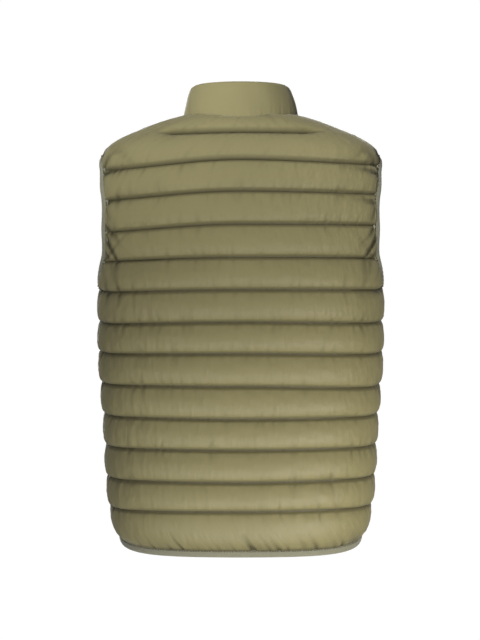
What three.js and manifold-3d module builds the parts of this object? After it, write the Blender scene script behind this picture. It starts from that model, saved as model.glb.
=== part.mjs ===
// A padded, sleeveless vest with a stand collar, filled out as it is when worn.
// Millimetres, +Z up. The front faces -Y and the wearer's left is +X.
// The origin is midway between the two points where the shoulders meet the neck, inside the cloth.
import * as THREE from "three";
import { mergeVertices } from "three/addons/utils/BufferGeometryUtils.js";
import Module from "manifold-3d";

const wasm = await Module();
wasm.setup();

// Driving dimensions
const SEAM_GAP = 0.3;
const EDGE_WALL = 4; // thickness of the wall along a stitch line or a seam
const PUFF = 10; // how far a channel's filling stands above its stitch lines
const PUFF_CHANNEL = 48; // height of the channel that has the full puff
const SAG = 0.75; // below 1, the filling hangs lower in its channel
const SIDE_PUFF = { share: 0.35, reach: 75 }; // the filling is drawn flatter round the sides
const SEAM_PINCH = 14; // the filling thins out over this distance from a seam
const ARMHOLE_PINCH = 26; // and over this one from an armhole's edge
const SEAM_LIFT = { height: 8, reach: 60 }; // a stitch line turns up a little towards the side seam
const HEM_TURN = 20; // above the hem, the wall's cut turns level over this height
const TOP_HEIGHT = 7; // the panels are made a little past the neck seam and trimmed there
const FRONT_GAP = 15; // between the two front edges, filled by the zip
const BINDING = { armhole: 10.5, hem: 9, thickness: 5.6 };

// The plain inside of the garment: half width, depth behind and in front of the shoulder line,
// and how square each level section is (2 is an ellipse).
const FORM = [
  { z: -668, side: 168, back: 98, front: 100, power: 2.2 },
  { z: -652, side: 175, back: 99, front: 102, power: 2.25 },
  { z: -636, side: 182, back: 102, front: 106, power: 2.3 },
  { z: -621, side: 188, back: 105, front: 110, power: 2.35 },
  { z: -602, side: 193, back: 108, front: 112, power: 2.4 },
  { z: -580, side: 197, back: 109, front: 113.5, power: 2.4 },
  { z: -550, side: 199.5, back: 109, front: 114.5, power: 2.4 },
  { z: -500, side: 202, back: 108, front: 115.5, power: 2.4 },
  { z: -450, side: 205, back: 108, front: 116, power: 2.4 },
  { z: -400, side: 209, back: 109, front: 116.5, power: 2.4 },
  { z: -350, side: 212, back: 111, front: 117, power: 2.4 },
  { z: -300, side: 212, back: 114, front: 118, power: 2.4 },
  { z: -262, side: 213.5, back: 116.5, front: 118.5, power: 2.4 },
  { z: -235, side: 218, back: 117.5, front: 118.5, power: 2.1 },
  { z: -208, side: 225, back: 118, front: 118, power: 1.85 },
  { z: -163, side: 235, back: 116.5, front: 114, power: 1.8 },
  { z: -114, side: 235, back: 111, front: 103, power: 1.8 },
  { z: -80, side: 220, back: 104, front: 89, power: 2 },
  { z: -60, side: 210, back: 97, front: 76, power: 2.25 },
  { z: -51, side: 203.5, back: 94, front: 71, power: 2.3 },
  { z: -41, side: 190, back: 90.5, front: 64, power: 2.2 },
  { z: -31, side: 171, back: 86, front: 56, power: 2.15 },
  { z: -21, side: 147, back: 81, front: 49, power: 2.1 },
  { z: -11, side: 121, back: 75, front: 40.5, power: 2.05 },
  { z: -2, side: 94, back: 69, front: 33, power: 2 },
  { z: 8, side: 57, back: 60, front: 24, power: 2 },
];

// The hem and the stitch lines above it, at the centre of the back. Out towards an armhole or a
// side seam a line hangs lower by so much, on the wearer's left and on the right.
const STITCH_LINES = [
  { z: -653, left: -17, right: -18 },
  { z: -593, left: 1, right: -2 },
  { z: -550, left: -1, right: -3 },
  { z: -502, left: -1, right: -2 },
  { z: -456, left: -2, right: -2 },
  { z: -407, left: -1, right: 3 },
  { z: -358, left: 1, right: 2 },
  { z: -311, left: 3, right: 2 },
  { z: -263, left: 3, right: 0 },
  { z: -215, left: 5, right: 0 },
  { z: -166, left: 9, right: -1 },
  { z: -117, left: 10, right: 1 },
  { z: -70, left: 11, right: 3 },
  { z: -28.6, left: 4, right: 2 },
];
const FULL_DROP = 0.8; // a line has dropped all the way at this share of the way out to the side
const HEM_CORNER = 5.5; // the higher, the nearer to the side seam the hem starts to turn up

// The armhole, seen from the side
const ARMHOLE = { top: -57, bottom: -256, middle: 2, back: 51.5, front: 60, power: 2.2, steps: 48 };

// The neck seam from above: half width, and reach behind and in front of the shoulder line
const NECK = { side: 83.5, back: 72, front: 84 };
const COLLAR = {
  wall: 9, steps: 48,
  height: { back: 58, side: 40, front: 60 },
  corner: 2.2, // the higher, the nearer to the side the top edge starts to fall
  lean: { back: 5, side: 11, front: 8 },
};

const ZIP = { coil: 6, coilThickness: 2.6, tapeThickness: 1, below: 8, step: 14, belowTop: 7 };
const SLIDER = { top: 9.5, bottom: 8, length: 13, aboveCoil: 4.5, plate: 1.6, rim: 1, bridge: 3 };
const BAIL = { width: 3, length: 8, rise: 4.2, wall: 1.1 };
const PULL = { width: 6.6, length: 26, thickness: 1.5, barRadius: 0.8, window: 5.5, rail: 1.3, tip: 3 };
const RUN = 0.4; // free play between parts of the zip that slide or turn

const COLORS = { shell: 0x8b8660, binding: 0x83846f, zip: 0x5f5f4a, metal: 0x6d6c5e };

const clamp = (x, low, high) => Math.min(Math.max(x, low), high);
const lerp = (a, b, t) => a + (b - a) * t;
const vector = (x, y, z) => new THREE.Vector3(x, y, z);

// A smooth curve through one column of a table, with no overshoot between its rows.
function curveOf(rows, column) {
  const x = rows.map((row) => row.z);
  const y = rows.map((row) => row[column]);
  const last = x.length - 1;
  const slope = x.slice(1).map((next, i) => (y[i + 1] - y[i]) / (next - x[i]));
  const tangent = x.map((_, i) => {
    if (i === 0 || i === last) return slope[Math.min(i, last - 1)];
    if (slope[i - 1] * slope[i] <= 0) return 0;
    return (2 * slope[i - 1] * slope[i]) / (slope[i - 1] + slope[i]);
  });
  return (at) => {
    const p = clamp(at, x[0], x[last]);
    let i = 0;
    while (i < last - 1 && p > x[i + 1]) i += 1;
    const h = x[i + 1] - x[i];
    const t = (p - x[i]) / h;
    const value = (2 * t ** 3 - 3 * t ** 2 + 1) * y[i] + (3 * t ** 2 - 2 * t ** 3) * y[i + 1];
    return value + (t ** 3 - 2 * t ** 2 + t) * h * tangent[i] + (t ** 3 - t ** 2) * h * tangent[i + 1];
  };
}

const form = {
  side: curveOf(FORM, "side"),
  back: curveOf(FORM, "back"),
  front: curveOf(FORM, "front"),
  power: curveOf(FORM, "power"),
};
const dropOf = { 1: curveOf(STITCH_LINES, "left"), "-1": curveOf(STITCH_LINES, "right") };
const HEM_HEIGHT = STITCH_LINES[0].z;
const LOWEST_CHANNEL = STITCH_LINES[1].z - HEM_HEIGHT;

const signedPower = (x, p) => Math.sign(x) * Math.abs(x) ** p;

// A point of the form's level section: angle 0 is the wearer's left, a quarter turn is the back.
function formPoint(z, angle) {
  const bend = 2 / form.power(z);
  const sine = Math.sin(angle);
  const depth = sine > 0 ? form.back(z) : form.front(z);
  return vector(form.side(z) * signedPower(Math.cos(angle), bend), depth * signedPower(sine, bend), z);
}

// The side and shoulder seams are at angle 0, and this is the angle of a front's edge at the zip.
const frontAngle = (z) => -Math.acos((FRONT_GAP / 2 / form.side(z)) ** (form.power(z) / 2));

// The point at a distance along a level section between two angles, from its first end.
function alongSection(z, from, to, distance) {
  const steps = 90;
  let walked = 0;
  let previous = formPoint(z, from);
  for (let i = 1; i <= steps; i += 1) {
    const next = formPoint(z, lerp(from, to, i / steps));
    const length = next.distanceTo(previous);
    if (walked + length >= distance || i === steps) {
      return previous.lerp(next, (distance - walked) / length);
    }
    walked += length;
    previous = next;
  }
  return previous;
}

function sectionLength(z, from, to) {
  const steps = 90;
  let length = 0;
  for (let i = 0; i < steps; i += 1) {
    const a = formPoint(z, lerp(from, to, i / steps));
    length += a.distanceTo(formPoint(z, lerp(from, to, (i + 1) / steps)));
  }
  return length;
}

// The armhole's edge on the form, on the wearer's left, and on the other side with hand -1
function armholeCurve(hand) {
  const middle = (ARMHOLE.top + ARMHOLE.bottom) / 2;
  const half = (ARMHOLE.top - ARMHOLE.bottom) / 2;
  const bend = 2 / ARMHOLE.power;
  return Array.from({ length: ARMHOLE.steps }, (_, i) => {
    const turn = (2 * Math.PI * i) / ARMHOLE.steps;
    const reach = Math.cos(turn) > 0 ? ARMHOLE.back : ARMHOLE.front;
    const y = ARMHOLE.middle + reach * signedPower(Math.cos(turn), bend);
    const z = middle + half * signedPower(Math.sin(turn), bend);
    const depth = y > 0 ? form.back(z) : form.front(z);
    const power = form.power(z);
    return vector(hand * form.side(z) * (1 - (Math.abs(y) / depth) ** power) ** (1 / power), y, z);
  });
}

// Below 1 inside the form, 1 on it and above 1 outside
function formLevel(p) {
  const power = form.power(p.z);
  const depth = p.y > 0 ? form.back(p.z) : form.front(p.z);
  return (Math.abs(p.x) / form.side(p.z)) ** power + (Math.abs(p.y) / depth) ** power;
}

// The neck seam on the form: turn 0 is the wearer's left, a quarter turn is the back.
function neckPoint(turn) {
  const sine = Math.sin(turn);
  let inside = ARMHOLE.bottom;
  let outside = TOP_HEIGHT;
  const point = vector(NECK.side * Math.cos(turn), (sine > 0 ? NECK.back : NECK.front) * sine, 0);
  while (outside - inside > 0.001) {
    point.z = (inside + outside) / 2;
    if (formLevel(point) < 1) inside = point.z;
    else outside = point.z;
  }
  return point;
}

// Outward normal of the form at a point near it
function formNormal(point) {
  const step = 0.5;
  const along = (axis) => {
    const ahead = point.clone();
    const behind = point.clone();
    ahead[axis] += step;
    behind[axis] -= step;
    return formLevel(ahead) - formLevel(behind);
  };
  return vector(along("x"), along("y"), along("z")).normalize();
}

// The way through the wall at a point of the form, in a row that starts at a height at the centre of
// the back. It turns level towards the hem, where the wall ends in a level cut.
function throughWall(point, height) {
  const normal = formNormal(point);
  return normal.setZ(normal.z * clamp((height - HEM_HEIGHT) / HEM_TURN, 0, 1)).normalize();
}

// A closed solid from points and triangles, turned so that its faces point outwards.
function solid(points, triangles) {
  const geometry = new THREE.BufferGeometry().setFromPoints(points);
  geometry.setIndex(triangles);
  const merged = mergeVertices(geometry, 1e-4);
  const build = (order) =>
    new wasm.Manifold(
      new wasm.Mesh({
        numProp: 3,
        vertProperties: merged.attributes.position.array,
        triVerts: new Uint32Array(order),
      }),
    );
  const made = build(merged.index.array);
  return made.volume() > 0 ? made : build(Array.from(merged.index.array).reverse());
}

// A box between two corners
const block = (low, high) =>
  wasm.Manifold.cube(high.map((value, axis) => value - low[axis])).translate(low);

function geometryOf(manifold) {
  const mesh = manifold.getMesh();
  const geometry = new THREE.BufferGeometry();
  geometry.setAttribute("position", new THREE.BufferAttribute(new Float32Array(mesh.vertProperties), 3));
  geometry.setIndex(new THREE.BufferAttribute(new Uint32Array(mesh.triVerts), 1));
  geometry.computeVertexNormals();
  return geometry;
}

// Joins a chain of rings of equal length into a tube. A closed chain meets its own start, and an
// open one gets flat ends.
function tube(rings, closed) {
  const count = rings[0].length;
  const triangles = [];
  const spans = closed ? rings.length : rings.length - 1;
  for (let i = 0; i < spans; i += 1) {
    const here = i * count;
    const there = ((i + 1) % rings.length) * count;
    for (let j = 0; j < count; j += 1) {
      const next = (j + 1) % count;
      triangles.push(here + j, there + j, here + next, here + next, there + j, there + next);
    }
  }
  if (!closed) {
    const flat = rings[0].map((_, j) => j);
    const end = (rings.length - 1) * count;
    for (const j of flat.slice(1, -1)) {
      triangles.push(0, j, j + 1, end, end + j + 1, end + j);
    }
  }
  return solid(rings.flat(), triangles);
}

// Row heights of a panel, from the hem up: the channels between stitch lines, each cut into a few
// rows, and the rows on which the plain inside is built.
const CHANNEL_ROWS = [0, 0.12, 0.36, 0.62, 0.86];
function panelRows() {
  const edges = [...STITCH_LINES.map((line) => line.z), TOP_HEIGHT];
  const rows = [];
  edges.slice(0, -1).forEach((low, channel) => {
    const high = edges[channel + 1];
    const shoulder = low > STITCH_LINES.at(-3).z;
    for (const share of CHANNEL_ROWS) {
      const inside = share === 0 || shoulder || (channel === 0 && share > 0.3);
      rows.push({ z: lerp(low, high, share), share, height: high - low, inside });
    }
  });
  rows.push({ z: TOP_HEIGHT, share: 1, height: 1, inside: true });
  return rows;
}

const pinch = (distance, reach) => Math.sqrt(1 - (1 - clamp(distance / reach, 0, 1)) ** 2);
const nearest = (point, curve) => Math.min(...curve.map((c) => c.distanceTo(point)));

// How thick the wall is at a point of the form, in a row of a channel, at its distances from the
// armhole and from the panel's other edges
function wallThickness(row, point, armhole, edges) {
  const fill = Math.sin(Math.PI * row.share ** SAG) ** SAG;
  const height = PUFF * Math.min(1, row.height / PUFF_CHANNEL);
  const fullness = lerp(SIDE_PUFF.share, 1, clamp(Math.abs(point.y) / SIDE_PUFF.reach, 0, 1));
  const seams = [...edges, nearest(point, NECK_SEAM)];
  const clear = Math.min(pinch(armhole, ARMHOLE_PINCH), ...seams.map((distance) => pinch(distance, SEAM_PINCH)));
  return EDGE_WALL + height * fill * fullness * clear;
}

// A padded wall over a piece of the form. place(row, share) gives a point of the form, and
// thickness(row, point, share) the wall there; shares run from one side edge to the other.
function paddedWall(rows, shares, place, thickness) {
  const inner = rows.filter((row) => row.inside);
  const points = [];
  const outerAt = rows.map((row) =>
    shares.map((share) => {
      const point = place(row, share);
      points.push(point.clone().addScaledVector(throughWall(point, row.z), thickness(row, point, share)));
      return points.length - 1;
    }),
  );
  const innerAt = inner.map((row) =>
    shares.map((share) => {
      points.push(place(row, share));
      return points.length - 1;
    }),
  );
  const triangles = [];
  const quad = (a, b, c, d) => triangles.push(a, b, c, a, c, d);
  const last = shares.length - 1;
  for (let j = 0; j < last; j += 1) {
    for (let i = 0; i < rows.length - 1; i += 1) {
      quad(outerAt[i][j], outerAt[i][j + 1], outerAt[i + 1][j + 1], outerAt[i + 1][j]);
    }
    for (let i = 0; i < inner.length - 1; i += 1) {
      quad(innerAt[i][j + 1], innerAt[i][j], innerAt[i + 1][j], innerAt[i + 1][j + 1]);
    }
    quad(innerAt[0][j], innerAt[0][j + 1], outerAt[0][j + 1], outerAt[0][j]);
    const top = inner.length - 1;
    quad(outerAt.at(-1)[j], outerAt.at(-1)[j + 1], innerAt[top][j + 1], innerAt[top][j]);
  }
  // The side edges, where the outside has more rows than the inside
  const zipEdge = (j, flip) => {
    let inside = 0;
    for (let i = 0; i < rows.length - 1; i += 1) {
      const a = outerAt[i][j];
      const b = outerAt[i + 1][j];
      const c = innerAt[inside][j];
      triangles.push(...(flip ? [a, c, b] : [a, b, c]));
      if (rows[i + 1].inside) {
        const d = innerAt[inside + 1][j];
        triangles.push(...(flip ? [b, c, d] : [b, d, c]));
        inside += 1;
      }
    }
  };
  zipEdge(0, false);
  zipEdge(last, true);
  return solid(points, triangles);
}

const FILLING_ROWS = panelRows();
const ARMHOLES = { 1: armholeCurve(1), "-1": armholeCurve(-1) };
const NECK_SEAM = Array.from({ length: COLLAR.steps }, (_, i) => neckPoint((2 * Math.PI * i) / COLLAR.steps));

// Shares across a panel of a length: near each side edge two close columns, then even ones
function columns(length, count) {
  const close = [0, 5 / length, SEAM_PINCH / length];
  const even = Array.from({ length: count - 1 }, (_, i) => lerp(close[2], 1 - close[2], (i + 1) / count));
  return [...close, ...even, ...close.map((share) => 1 - share).reverse()];
}

// How far a line hangs below its height at the centre of the back, at a share of the way out to the
// side seam on one hand
function dropAt(height, hand, share) {
  const distance = (1 - share) * form.side(height);
  const lift = SEAM_LIFT.height * (1 - clamp(distance / SEAM_LIFT.reach, 0, 1)) ** 2;
  const drop = Math.sin((Math.PI / 2) * Math.min(1, share / FULL_DROP)) ** 2;
  const down = lerp(share ** HEM_CORNER, drop, clamp((height - HEM_HEIGHT) / LOWEST_CHANNEL, 0, 1));
  const seamOnly = clamp((height - HEM_HEIGHT) / HEM_TURN, 0, 1) * (height < ARMHOLE.bottom ? 1 : 0);
  return dropOf[hand](height) * down - lift * seamOnly;
}

// A point of the back at a height and at a share of the way from the wearer's left to the right
function backPoint(height, share) {
  const outward = 2 * share - 1;
  const z = height - dropAt(height, outward < 0 ? 1 : -1, Math.abs(outward));
  const length = sectionLength(z, 0, Math.PI);
  return alongSection(z, 0, Math.PI, lerp(SEAM_GAP / 2, length - SEAM_GAP / 2, share));
}

// A point of a front at a height and at a share of the way from its side seam to the zip
function frontPoint(hand, height, share) {
  const z = height - dropAt(height, hand, 1 - share);
  const to = frontAngle(z);
  const point = alongSection(z, 0, to, lerp(SEAM_GAP / 2, sectionLength(z, 0, to), share));
  return point.setX(hand * point.x);
}

function backPanel() {
  const thickness = (row, point, share) => {
    const side = sectionLength(point.z, 0, Math.PI) * Math.min(share, 1 - share);
    const armhole = Math.min(nearest(point, ARMHOLES[1]), nearest(point, ARMHOLES[-1]));
    return wallThickness(row, point, armhole, [side, row.z - HEM_HEIGHT]);
  };
  return paddedWall(FILLING_ROWS, columns(570, 17), (row, share) => backPoint(row.z, share), thickness);
}

function frontPanel(hand) {
  const thickness = (row, point, share) => {
    const length = sectionLength(point.z, 0, frontAngle(point.z));
    const edges = [length * share, length * (1 - share), row.z - HEM_HEIGHT];
    return wallThickness(row, point, nearest(point, ARMHOLES[hand]), edges);
  };
  const place = (row, share) => frontPoint(hand, row.z, share);
  return paddedWall(FILLING_ROWS, columns(270, 8), place, thickness);
}

// The solid that cuts an armhole, square to the cloth
function armholeCutter(hand) {
  const depth = 26;
  const curve = ARMHOLES[hand];
  const normals = curve.map(formNormal);
  const middle = curve.reduce((sum, p) => sum.add(p), vector(0, 0, 0)).divideScalar(curve.length);
  const outwards = vector(hand, 0, 0);
  const levels = [-depth, -1, EDGE_WALL + 1, depth];
  const rings = levels.map((level) => curve.map((p, i) => p.clone().addScaledVector(normals[i], level)));
  const points = [
    ...rings.flat(),
    middle.clone().addScaledVector(outwards, -2 * depth),
    middle.clone().addScaledVector(outwards, 3 * depth),
  ];
  const count = curve.length;
  const ends = levels.length * count;
  const triangles = [];
  for (let i = 0; i < count; i += 1) {
    const next = (i + 1) % count;
    for (let level = 0; level < levels.length - 1; level += 1) {
      const here = level * count;
      const there = here + count;
      triangles.push(here + i, here + next, there + i, here + next, there + next, there + i);
    }
    triangles.push(ends, next, i, ends + 1, ends - count + i, ends - count + next);
  }
  return solid(points, triangles);
}

// The collar at a turn round the neck: the foot on the seam, its outward and upward directions
function collarFrame(turn) {
  const foot = neckPoint(turn);
  const sine = Math.sin(turn);
  const end = sine > 0 ? "back" : "front";
  const outward = vector(Math.cos(turn) / NECK.side, sine / NECK[end], 0).normalize();
  const lean = lerp(COLLAR.lean.side, COLLAR.lean[end], sine ** 2);
  const towardsEnd = sine > 0 ? 1 - (1 - sine) ** COLLAR.corner : sine ** 2;
  const height = lerp(COLLAR.height.side, COLLAR.height[end], towardsEnd);
  const upward = vector(0, 0, height).addScaledVector(outward, -lean).normalize();
  const face = outward.clone().addScaledVector(upward, -outward.dot(upward)).normalize();
  return { foot, face, upward, height };
}

// The funnel above the neck seam. The panels lose what lies in it, and the collar keeps that.
function neckFunnel(raised) {
  const reach = 22;
  const ceiling = 160;
  const turns = NECK_SEAM.map((_, i) => (2 * Math.PI * i) / COLLAR.steps);
  const rings = [[], [], []];
  for (const turn of turns) {
    const { foot, face } = collarFrame(turn);
    const across = formNormal(foot).add(face).normalize();
    const start = foot.clone().add(vector(0, 0, raised));
    rings[0].push(start.clone().addScaledVector(across, -reach));
    rings[1].push(start.clone().addScaledVector(across, reach));
    rings[2].push(rings[1].at(-1).clone().setZ(ceiling));
  }
  return tube(rings, false);
}

// The collar: one padded band that stands on the neck seam and ends at the zip on both sides
function collar() {
  const half = COLLAR.wall / 2;
  // The band's section: along the face and up, from below the seam, over the top and back down
  const section = (height) => [
    [half - 2, -14], [half - 1.5, 2], [half, height * 0.3], [half, height * 0.7], [half - 1, height - 4],
    [1.5, height - 0.5], [-1.5, height - 0.5], [1 - half, height - 4], [-half, height * 0.6],
    [2 - half, 2], [2 - half, -14],
  ];
  const rings = NECK_SEAM.map((_, i) => {
    const { foot, face, upward, height } = collarFrame((2 * Math.PI * i) / COLLAR.steps);
    return section(height).map(([out, up]) =>
      foot.clone().addScaledVector(face, out + EDGE_WALL / 2).addScaledVector(upward, up),
    );
  });
  const tall = 2 * NECK.front;
  const zipSlot = block([-FRONT_GAP / 2, -tall, -tall], [FRONT_GAP / 2, 0, tall]);
  return tube(rings, true).intersect(neckFunnel(SEAM_GAP)).subtract(zipSlot);
}

// Section of a folded edge binding, in shares of its width from the cloth's edge towards the opening
// and of its thickness through the wall
const BINDING_SECTION = [
  [0, 0.5], [0.75, 0.5], [1, 0.25], [1, -0.25], [0.75, -0.5], [0, -0.5],
];

function bindingTube(frames, width, closed) {
  const rings = frames.map(({ point, normal, outward }) =>
    BINDING_SECTION.map(([out, through]) =>
      point
        .clone()
        .addScaledVector(outward, SEAM_GAP + out * width)
        .addScaledVector(normal, EDGE_WALL / 2 + through * BINDING.thickness),
    ),
  );
  return tube(rings, closed);
}

function armholeBinding(hand) {
  const curve = ARMHOLES[hand];
  const count = curve.length;
  const middle = curve.reduce((sum, p) => sum.add(p), vector(0, 0, 0)).divideScalar(count);
  const frames = curve.map((point, i) => {
    const normal = formNormal(point);
    const along = curve[(i + 1) % count].clone().sub(curve[(i + count - 1) % count]).normalize();
    const outward = normal.clone().cross(along).normalize();
    if (outward.dot(middle.clone().sub(point)) < 0) outward.negate();
    return { point, normal, outward };
  });
  return bindingTube(frames, BINDING.armhole, true);
}

// The hem's binding follows the edge of the left front, the back and the right front.
function hemBinding() {
  const steps = { front: 20, back: 30 };
  const frames = [];
  const follow = (count, place) => {
    for (let i = 0; i <= count; i += 1) {
      const point = place(i / count);
      frames.push({ point, normal: throughWall(point, HEM_HEIGHT), outward: vector(0, 0, -1) });
    }
  };
  follow(steps.front, (share) => frontPoint(1, HEM_HEIGHT, 1 - share));
  follow(steps.back, (share) => backPoint(HEM_HEIGHT, share));
  follow(steps.front, (share) => frontPoint(-1, HEM_HEIGHT, share));
  return bindingTube(frames, BINDING.hem, false);
}

// The zip's line down the centre of the front, from the hem to the top of the collar
function zipLine() {
  const low = HEM_HEIGHT - ZIP.below;
  const neck = collarFrame(-Math.PI / 2);
  const seam = neck.foot.z;
  const count = Math.round((seam - low) / ZIP.step);
  const points = Array.from({ length: count + 1 }, (_, i) => {
    const z = lerp(low, seam - 10, i / count);
    return vector(0, -form.front(z), z);
  });
  for (const share of [0.12, 0.35, 0.6, 0.82, 1]) {
    points.push(neck.foot.clone().addScaledVector(neck.upward, share * (neck.height - ZIP.belowTop)));
  }
  return points;
}

const ZIP_LINE = zipLine();

// Directions square to the zip's line at one of its points: out of the garment, and up
function zipFrame(index) {
  const before = ZIP_LINE[Math.max(index - 1, 0)];
  const after = ZIP_LINE[Math.min(index + 1, ZIP_LINE.length - 1)];
  const upward = after.clone().sub(before).normalize();
  return { point: ZIP_LINE[index], upward, outward: vector(1, 0, 0).cross(upward).normalize() };
}

// A strip along the zip, between two distances from its middle and with its own thickness
function zipStrip(from, to, thickness) {
  const rings = ZIP_LINE.map((_, i) => {
    const { point, outward } = zipFrame(i);
    const middle = point.clone().addScaledVector(outward, EDGE_WALL / 2);
    return [[from, -1], [to, -1], [to, 1], [from, 1]].map(([x, side]) =>
      middle.clone().add(vector(x, 0, 0)).addScaledVector(outward, (side * thickness) / 2),
    );
  });
  return tube(rings, false);
}

// The slider stands at the top end of the coil. Its own axes are across, up the zip and outwards.
const sliderPlace = (() => {
  const { point, upward, outward } = zipFrame(ZIP_LINE.length - 1);
  const middle = point.clone().addScaledVector(outward, EDGE_WALL / 2);
  return new THREE.Matrix4().makeBasis(vector(1, 0, 0), upward, outward).setPosition(middle);
})();
const PLATE_FACE = ZIP.coilThickness / 2 + RUN;
const BAIL_FOOT = PLATE_FACE + SLIDER.plate;
const SLIDER_MIDDLE = SLIDER.aboveCoil - SLIDER.length / 2;
const HINGE = vector(0, SLIDER_MIDDLE, BAIL_FOOT + (BAIL.rise - BAIL.wall) / 2);

function plateOutline(inset) {
  const high = SLIDER.aboveCoil;
  const low = high - SLIDER.length;
  const top = SLIDER.top / 2 - inset;
  const bottom = SLIDER.bottom / 2 - inset;
  const shoulder = high - SLIDER.length * 0.4;
  const corner = 1.2;
  return new wasm.CrossSection([[
    [-bottom, low], [bottom, low], [bottom, shoulder - 2], [top, shoulder], [top, high - corner],
    [top - corner, high], [corner - top, high], [-top, high - corner], [-top, shoulder],
    [-bottom, shoulder - 2],
  ]]);
}

function slider() {
  const high = SLIDER.aboveCoil;
  const rimFace = ZIP.tapeThickness / 2 + RUN;
  const rim = plateOutline(0).subtract(plateOutline(SLIDER.rim)).extrude(PLATE_FACE - rimFace);
  const open = SLIDER.top / 2 - SLIDER.rim;
  const slot = block([-open, -SLIDER.length, -BAIL_FOOT], [open, SLIDER.length, BAIL_FOOT]);
  const front = plateOutline(0).extrude(SLIDER.plate).translate([0, 0, PLATE_FACE])
    .add(rim.translate([0, 0, rimFace]).subtract(slot));
  const bridge = block([-SLIDER.bridge / 2, RUN, -PLATE_FACE], [SLIDER.bridge / 2, high - 0.5, PLATE_FACE]);
  const half = { x: BAIL.width / 2, y: BAIL.length / 2 };
  const leg = 1.4;
  const bail = block(
    [-half.x, SLIDER_MIDDLE - half.y, BAIL_FOOT - 0.5],
    [half.x, SLIDER_MIDDLE + half.y, BAIL_FOOT + BAIL.rise],
  ).subtract(block(
    [-BAIL.width, SLIDER_MIDDLE - half.y + leg, BAIL_FOOT],
    [BAIL.width, SLIDER_MIDDLE + half.y - leg, BAIL_FOOT + BAIL.rise - BAIL.wall],
  ));
  return front.add(front.mirror([0, 0, 1])).add(bridge).add(bail).transform(sliderPlace.toArray());
}

function pullTab() {
  const half = PULL.width / 2;
  const outline = new wasm.CrossSection([[
    [-half, PULL.barRadius], [-half, -PULL.length + PULL.tip], [-half + PULL.tip, -PULL.length],
    [half - PULL.tip, -PULL.length], [half, -PULL.length + PULL.tip], [half, PULL.barRadius],
  ]]);
  const open = half - PULL.rail;
  const window = block([-open, -PULL.window, -PULL.thickness], [open, PULL.length, PULL.thickness]);
  const bar = wasm.Manifold.cylinder(PULL.width, PULL.barRadius, PULL.barRadius, 20, true).rotate([0, 90, 0]);
  const tab = outline.extrude(PULL.thickness).translate([0, 0, -PULL.thickness / 2]);
  return tab.subtract(window).add(bar).translate(HINGE.toArray()).transform(sliderPlace.toArray());
}

const group = new THREE.Group();
function add(name, manifold, color, roughness = 0.7, metalness = 0) {
  const material = new THREE.MeshStandardMaterial({ color, roughness, metalness });
  const mesh = new THREE.Mesh(geometryOf(manifold), material);
  mesh.name = name;
  group.add(mesh);
}

const funnel = neckFunnel(0);
const cutters = { 1: armholeCutter(1), "-1": armholeCutter(-1) };
add("back", backPanel().subtract(funnel).subtract(cutters[1]).subtract(cutters[-1]), COLORS.shell);
for (const [side, hand] of [["left", 1], ["right", -1]]) {
  add(`front_${side}`, frontPanel(hand).subtract(funnel).subtract(cutters[hand]), COLORS.shell);
  add(`armhole_binding_${side}`, armholeBinding(hand), COLORS.binding);
}
add("collar", collar(), COLORS.shell);
add("hem_binding", hemBinding(), COLORS.binding);
const tapeIn = ZIP.coil / 2 + SEAM_GAP;
const tapeOut = FRONT_GAP / 2 - SEAM_GAP;
add("zip_tape_left", zipStrip(tapeIn, tapeOut, ZIP.tapeThickness), COLORS.zip);
add("zip_tape_right", zipStrip(-tapeOut, -tapeIn, ZIP.tapeThickness), COLORS.zip);
add("zip_coil", zipStrip(-ZIP.coil / 2, ZIP.coil / 2, ZIP.coilThickness), COLORS.zip);
add("zip_slider", slider(), COLORS.metal, 0.4, 0.8);
add("zip_pull", pullTab(), COLORS.metal, 0.4, 0.8);

export default group;
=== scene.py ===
# A padded, sleeveless vest with a stand collar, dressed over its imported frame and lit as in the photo.
# Metres in the scene, millimetres in the tables. +Z up, the front faces -Y, the wearer's left is +X.
import math

import bmesh
import bpy
import numpy as np
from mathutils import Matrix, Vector


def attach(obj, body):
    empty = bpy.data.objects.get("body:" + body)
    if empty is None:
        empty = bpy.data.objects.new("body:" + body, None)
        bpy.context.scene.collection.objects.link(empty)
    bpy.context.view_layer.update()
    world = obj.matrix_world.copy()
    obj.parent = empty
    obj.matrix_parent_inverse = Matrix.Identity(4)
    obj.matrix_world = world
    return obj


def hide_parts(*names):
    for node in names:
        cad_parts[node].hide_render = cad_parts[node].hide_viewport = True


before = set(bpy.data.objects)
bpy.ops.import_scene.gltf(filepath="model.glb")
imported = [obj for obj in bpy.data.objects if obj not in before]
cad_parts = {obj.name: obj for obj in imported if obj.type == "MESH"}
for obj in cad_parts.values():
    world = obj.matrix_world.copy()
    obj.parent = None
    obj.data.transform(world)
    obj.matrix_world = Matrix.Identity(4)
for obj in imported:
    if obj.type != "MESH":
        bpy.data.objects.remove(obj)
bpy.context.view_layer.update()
MM = 0.001
BODY = "vest"

# The solids' driving sizes, as in the part's source but for SIDE_GAP and COLLAR_CORNER
SEAM_GAP = 0.3
SIDE_GAP = 0.04  # the sewn panels meet here, so no light comes through the side seams
EDGE_WALL = 4.0
PUFF = 10.0
PUFF_CHANNEL = 48.0
SAG = 0.75
SIDE_PUFF_SHARE = 0.35
SIDE_PUFF_REACH = 75.0
SEAM_PINCH = 14.0
ARMHOLE_PINCH = 26.0
SEAM_LIFT_HEIGHT = 8.0
SEAM_LIFT_REACH = 60.0
FULL_DROP = 0.8
HEM_CORNER = 5.5
HEM_TURN = 20.0
TOP_HEIGHT = 7.0
FRONT_GAP = 15.0

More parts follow.
